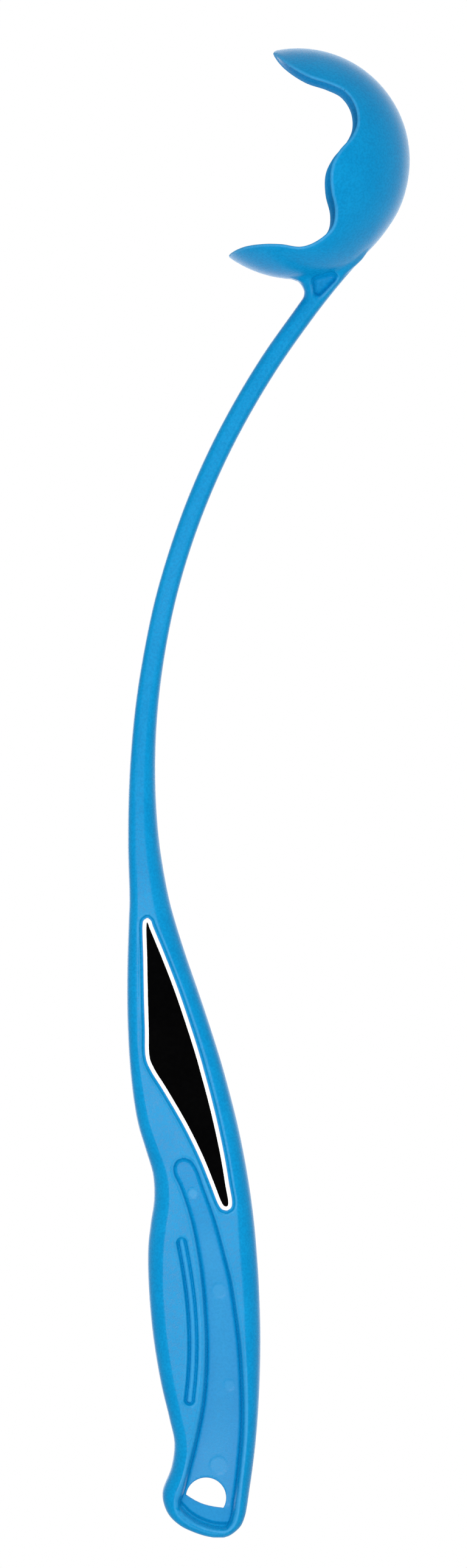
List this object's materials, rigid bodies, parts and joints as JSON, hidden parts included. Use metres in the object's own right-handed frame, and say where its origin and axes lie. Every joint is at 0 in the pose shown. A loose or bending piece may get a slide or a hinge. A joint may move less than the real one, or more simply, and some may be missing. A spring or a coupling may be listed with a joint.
{
  "type": "dog ball thrower",
  "caption": "Hand-held dog ball thrower: a curved springy stem between a flat-sided grip with a hang hole and a claw-shaped spherical cup that holds a tennis-size ball.",
  "frame": {"origin": "middle of the grip, on the mid-plane between its two sides", "axes": "+Z along the thrower's length from the grip to the ball cup, -X the side that the cup's mouth faces, +Y through the thickness, with the pictured side on -Y"},
  "size_m": [0.0869, 0.0658, 0.457],
  "materials": {
    "blue_plastic": "satin moulded polypropylene with a fine spark texture",
    "label_film": "smooth white film",
    "label_print": "smooth black print"
  },
  "bodies": {
    "root": {"thrower_body": "blue_plastic", "front_label_film": "label_film", "front_label_print": "label_print", "back_label_film": "label_film", "back_label_print": "label_print"}
  },
  "joints": []
}
